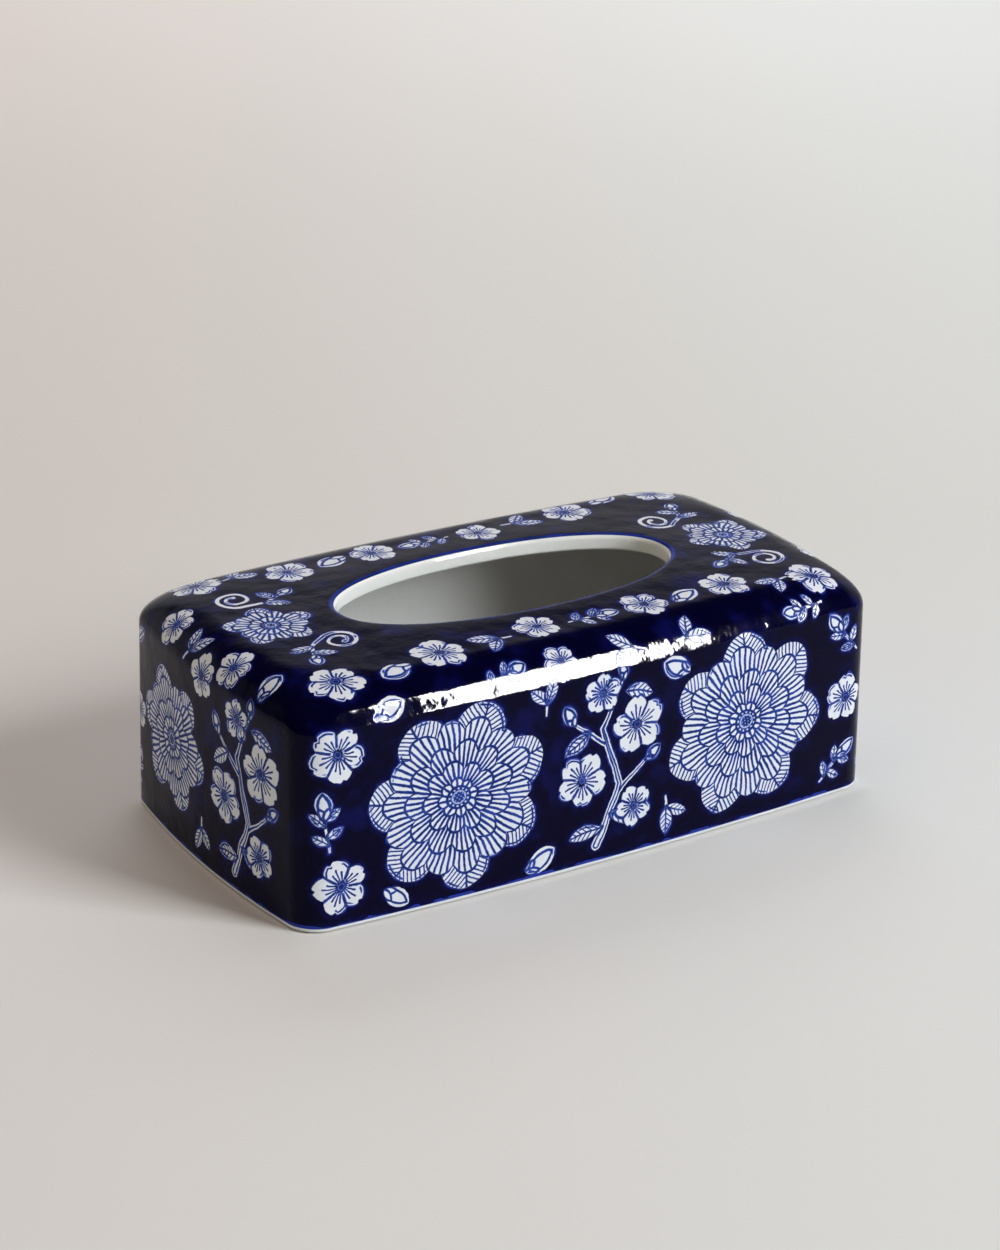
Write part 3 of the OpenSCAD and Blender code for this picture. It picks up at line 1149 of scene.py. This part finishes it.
def with_outline(tree, edge, line):
    """A drawing's lines, with a broken fine line just inside its outline."""
    outline = lined(abs(edge + OUTLINE_IN), LINE * OUTLINE_WIDTH)
    outline = outline * cloud(tree, OUTLINE_SIZE).fade(*OUTLINE_BREAKS)
    return line.most(outline) * edge.fade(SOFT, -SOFT)


def reserved_colour(tree, line, rise):
    """White left in reserve, with its lines and what bleeds from them."""
    # The last bit above the foot is bare clay, and its darker colour is painted contact shade.
    bare = mixed(rise.fade(*BARE_SHADE_RISE), RESERVED_WHITE, BARE_CLAY_AND_SHADE)
    bled = mixed(line.fade(*BLEEDING) * BLEED_STRENGTH, bare, BLEED_BLUE)
    drawn = mixed(cloud(tree, INK_SIZE).fade(*THIN_INK), LINE_BLUE, PALE_LINE_BLUE)
    return mixed(line.fade(*INKED), bled, drawn)


print("the broken outline runs", OUTLINE_IN, "mm inside the edge")

# %% [markdown]
# ## The whole painting
# Now the ground, the white and the lip come together. The painted cobalt stands a hair above the white, and
# the glaze shows it, so the painting also gives a relief in millimetres.

# %% Put the painting together
RELIEF, RELIEF_RUN, LINE_RELIEF = 0.045, 0.3, 0.5
FAR_FROM_DRAWINGS = 10


def painted_colour(tree, edge, line):
    """The colour and the relief of the painting, from a drawing's edge and line."""
    lip = kept_length(tree, "from_mouth_mm") - LIP_BAND
    rise = kept_length(tree, "from_foot_mm")
    line = with_outline(tree, edge, line)
    edge = edge.least(rise - FOOT_BAND)
    ground = ground_colour(tree, edge, lip, rise)
    colour = mixed(edge.fade(SOFT, -SOFT), ground, reserved_colour(tree, line, rise))
    relief = edge.fade(-RELIEF_RUN, RELIEF_RUN).most(line * LINE_RELIEF) * RELIEF
    return mixed(lip.fade(SOFT, -SOFT), colour, GLAZE_WHITE), relief


def painted_ground(tree):
    far = kept_length(tree, "from_foot_mm") * 0 + FAR_FROM_DRAWINGS
    return painted_colour(tree, far, far * 0)


def painted_motif(draw):
    return lambda tree: painted_colour(tree, *draw(brush_place(tree)))


print("the cobalt stands", RELIEF, "mm above the white")

# %% [markdown]
# ## The clear glaze
# The glaze is as smooth as glass, and only pools and dimples a little. A Principled shader with a low
# roughness gives the gloss, and its mirror is turned down until the ground of the walls is as dark as on
# the real piece. A very slight bump, of slow waves and quicker ones, bends the highlights and breaks up
# their edges. A stronger bump would make the glaze look hammered.

# %% Lay the glaze over it
GLAZE_ROUGHNESS = 0.06
SPECULAR_LEVEL = 0.075
WAVE_SIZE, WAVE = 17.0, 0.5
DIMPLE_SIZE, DIMPLE = 5.0, 0.15


def new_finish(name, values):
    """A new material, its tree and its Principled shader, on whose sockets the values are set."""
    material = bpy.data.materials.new(name)
    material.use_nodes = True
    tree = material.node_tree
    shader = tree.nodes["Principled BSDF"]
    for socket, value in values.items():
        shader.inputs[socket].default_value = value
    return material, tree, shader


def glaze(name, colour_of):
    """A clear glaze over a colour and a relief in millimetres, which a function of the tree gives."""
    values = {"Roughness": GLAZE_ROUGHNESS, "Specular IOR Level": SPECULAR_LEVEL}
    material, tree, shader = new_finish(name, values)
    colour, relief = colour_of(tree)
    connect(tree, colour, shader.inputs["Base Color"])
    waves = cloud(tree, WAVE_SIZE, detail=1.0) * WAVE
    height = waves + cloud(tree, DIMPLE_SIZE, detail=2.0) * DIMPLE + relief
    bump = add_node(tree, "ShaderNodeBump")
    bump.socket.node.inputs["Distance"].default_value = MM
    connect(tree, height, bump.socket.node.inputs["Height"])
    connect(tree, bump, shader.inputs["Normal"])
    return material


print("glaze roughness:", GLAZE_ROUGHNESS)

# %% [markdown]
# ## White glaze, bare foot
# Inside, the same glaze lies on the white body, with a few specks of iron. Away from the mouth its white is
# mixed greyer, as painted shade for the dim hollow. The wiped land of the foot is unglazed porcelain, dull
# and warmer, for which a rough Principled shader is enough; its colour is darker than the clay alone, as
# painted contact shade. The order of the materials is that of the finishes and motifs on the faces.

# %% Dress the cover
# A greyer white for deep inside: painted shade for the dim hollow.
INNER_SHADED_WHITE = (0.73, 0.735, 0.715, 1)
INNER_START, INNER_RUN = 7.0, 15
SPECK_BROWN = (0.25, 0.21, 0.16, 1)
SPECK_SIZE, SPECKS = 2.2, (0.80, 0.86)
BARE_ROUGHNESS = 0.75
GRAIN_SIZE = 3.0


def specked_white_and_inner_shade(tree):
    speck = cloud(tree, SPECK_SIZE, detail=1.0).fade(*SPECKS)
    # Deeper inside, the white is mixed greyer: painted shade.
    deep = kept_length(tree, "from_mouth_mm").fade(-INNER_START, -INNER_START - INNER_RUN)
    return mixed(speck, mixed(deep, GLAZE_WHITE, INNER_SHADED_WHITE), SPECK_BROWN), 0.0


def unglazed(name):
    material, tree, shader = new_finish(name, {"Roughness": BARE_ROUGHNESS})
    grain = cloud(tree, GRAIN_SIZE, detail=4.0)
    # The land's colour is bare clay, darkened as painted contact shade.
    connect(tree, mixed(grain, BARE_CLAY_AND_SHADE, GLAZE_WHITE), shader.inputs["Base Color"])
    return material


materials = [unglazed("bare_porcelain_and_shade"), glaze("white_glaze_and_inner_shade", specked_white_and_inner_shade)]
materials.append(glaze("cobalt_ground", painted_ground))
materials += [glaze(f"cobalt_{kind}", painted_motif(DRAWINGS[kind])) for kind in REACH]
for material in materials:
    cover_mesh.materials.append(material)
    print(material.name, "has", len(material.node_tree.nodes), "nodes")

# %% [markdown]
# ## Clear pads
# Four small self-adhesive pads keep the foot off the table. Their shape is right in the frame, so they stay
# as they are, and only get a clear rubber. It lets light through, and its roughness varies a little,
# because such pads are never as clear as glass.

# %% Make the pads clear
RUBBER = {"Base Color": (0.86, 0.87, 0.86, 1), "IOR": 1.41, "Transmission Weight": 0.8}
HAZE_SIZE, HAZE, CLEAREST = 0.9, 0.2, 0.25
silicone, tree, shader = new_finish("clear_rubber", RUBBER)
connect(tree, cloud(tree, HAZE_SIZE) * HAZE + CLEAREST, shader.inputs["Roughness"])

for name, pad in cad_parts.items():
    if name.startswith("foot_pad"):
        pad.data.materials.clear()
        pad.data.materials.append(silicone)
        print(name, "is clear")

# %% [markdown]
# ## Paper
# The cover stands on a pale paper sweep, which here is a large flat plane, because the camera looks down on
# it and never sees where the real one rises. Its colour carries painted shade: it is a little warmer and
# darker on the left of the picture, and darker halfway back, so its colour is mixed from left to right and
# shaded by depth, both along the floor itself. It has no gloss.

# %% Lay the paper
PAPER_RIGHT = (0.767, 0.79, 0.785, 1)
SHADED_PAPER_LEFT = (0.705, 0.656, 0.632, 1)
# Painted shade on the paper: darker halfway back, and less so far back.
MIDDLE_PAINTED_SHADE = (0.93, 0.915, 0.89, 1)
FAR_PAINTED_SHADE = (0.965, 0.945, 0.92, 1)
NEAR_NO_SHADE = (1, 1, 1, 1)
DULL_PAPER = {"Roughness": 0.85, "Specular IOR Level": 0.0}
PAPER_REACH = 4.0
ACROSS, BACK = (0.842, -0.54), (0.54, 0.842)
LEFT_TO_RIGHT, FRONT_TO_MIDDLE, MIDDLE_TO_FAR = (-0.55, 0.45), (0.0, 0.35), (0.8, 1.7)

paper_mesh = bmesh.new()
bmesh.ops.create_grid(paper_mesh, x_segments=1, y_segments=1, size=PAPER_REACH)
floor_mesh = bpy.data.meshes.new("paper")
paper_mesh.to_mesh(floor_mesh)
paper_mesh.free()
floor = bpy.data.objects.new("paper", floor_mesh)
scene.collection.objects.link(floor)

paper_material, tree, shader = new_finish("pale_paper_with_shade", DULL_PAPER)
place = add_node(tree, "ShaderNodeTexCoord", output=OBJECT_PLACE)
across, depth = place.along(*ACROSS), place.along(*BACK)
# Painted shade: warmer and darker towards the left of the picture.
paper_colour_and_shade = mixed(across.fade(*LEFT_TO_RIGHT), SHADED_PAPER_LEFT, PAPER_RIGHT)
paper_shade = mixed(depth.fade(*FRONT_TO_MIDDLE), NEAR_NO_SHADE, MIDDLE_PAINTED_SHADE)
paper_shade = mixed(depth.fade(*MIDDLE_TO_FAR), paper_shade, FAR_PAINTED_SHADE)
connect(tree, paper_colour_and_shade.vector("MULTIPLY", paper_shade), shader.inputs["Base Color"])
floor_mesh.materials.append(paper_material)
print("paper is", round(floor.dimensions.x, 1), "m wide")

# %% [markdown]
# ## Lamps
# The picture was taken under soft light from the right. The key is a softbox that gives the light and the
# shadow to the left. The gleam is a narrow, tall and leaning lamp in nearly the same direction, which makes
# only the long highlight on the front shoulder. They are two lamps, because one that is wide enough for the
# soft shadow gives a highlight that is too wide and too weak, and one that is narrow enough for the
# highlight gives a hard shadow. The fill is a large warm lamp overhead, the card is what a white card on
# the left gives back, and the sweep lights the paper behind. Only the gleam shows in the glaze.

# %% Hang the lamps
def softbox(name, direction, distance, width, height, power, colour=(1, 1, 1), lean=0.0):
    """A flat lamp that looks at the cover from a direction. It leans by so many degrees to the right."""
    lamp = bpy.data.lights.new(name, "AREA")
    lamp.shape = "RECTANGLE"
    lamp.size, lamp.size_y = width, height
    lamp.energy = power
    lamp.color = colour
    holder = bpy.data.objects.new(name, lamp)
    outward = Vector(direction).normalized()
    holder.location = outward * distance
    upright = outward.to_track_quat("Z", "Y").to_matrix()
    holder.rotation_euler = (upright @ Matrix.Rotation(-math.radians(lean), 3, "Z")).to_euler()
    holder.visible_camera = False
    scene.collection.objects.link(holder)
    return holder


key = softbox("key", (0.50, -0.74, 0.50), 5.0, 1.8, 2.6, 248, (0.955, 0.987, 1.0))
gleam = softbox("gleam", (0.46, -0.745, 0.37), 2.9, 0.66, 2.9, 1450, lean=12)
fill = softbox("fill", (-0.25, 0.2, 1.0), 6.0, 9.0, 9.0, 125, (1.0, 0.77, 0.66))
card = softbox("card", (-0.9, -0.1, 0.36), 5.0, 4.0, 3.0, 31, (1.0, 0.98, 0.69))
sweep = softbox("sweep", (1.3, 2.2, 2.0), 3.2, 2.4, 2.4, 40, (0.87, 0.93, 1.0))
sweep.rotation_euler = (0, 0, 0)
gleam.visible_diffuse = False
for lamp in (key, fill, card, sweep):
    lamp.visible_glossy = False

# %% [markdown]
# ## The studio around
# The glaze mirrors what is round it, so an empty world would leave it black. The sky stands for the studio:
# pale low down behind the cover, where the paper sweep rises, and nearly dark elsewhere. The pale part is
# what gives the top of the cover its grey sheen. A picture of a real studio would do the same, but it would
# be a file beside the script.

# %% Light the sky
STUDIO_BACK = 0.56
STUDIO_ROUND = 0.04
STUDIO_WHITE = (1.0, 0.99, 0.975, 1)
SKY_DIRECTION = 0
BEHIND, SWEEP_START, SWEEP_TOP = (0.54, 0.84), (0.0, 0.6), (0.6, 0.3)
world = bpy.data.worlds.new("studio")
world.use_nodes = True
scene.world = world
tree = world.node_tree
sky = tree.nodes["Background"]
sky.inputs["Color"].default_value = STUDIO_WHITE
towards = add_node(tree, "ShaderNodeTexCoord", output=SKY_DIRECTION)
behind = towards.along(*BEHIND).fade(*SWEEP_START)
height = towards.measured("DOT_PRODUCT", (0, 0, 1))
strength = behind * height.fade(*SWEEP_TOP) * (STUDIO_BACK - STUDIO_ROUND) + STUDIO_ROUND
connect(tree, strength, sky.inputs["Strength"])
print("sky strength from", STUDIO_ROUND, "to", STUDIO_BACK)
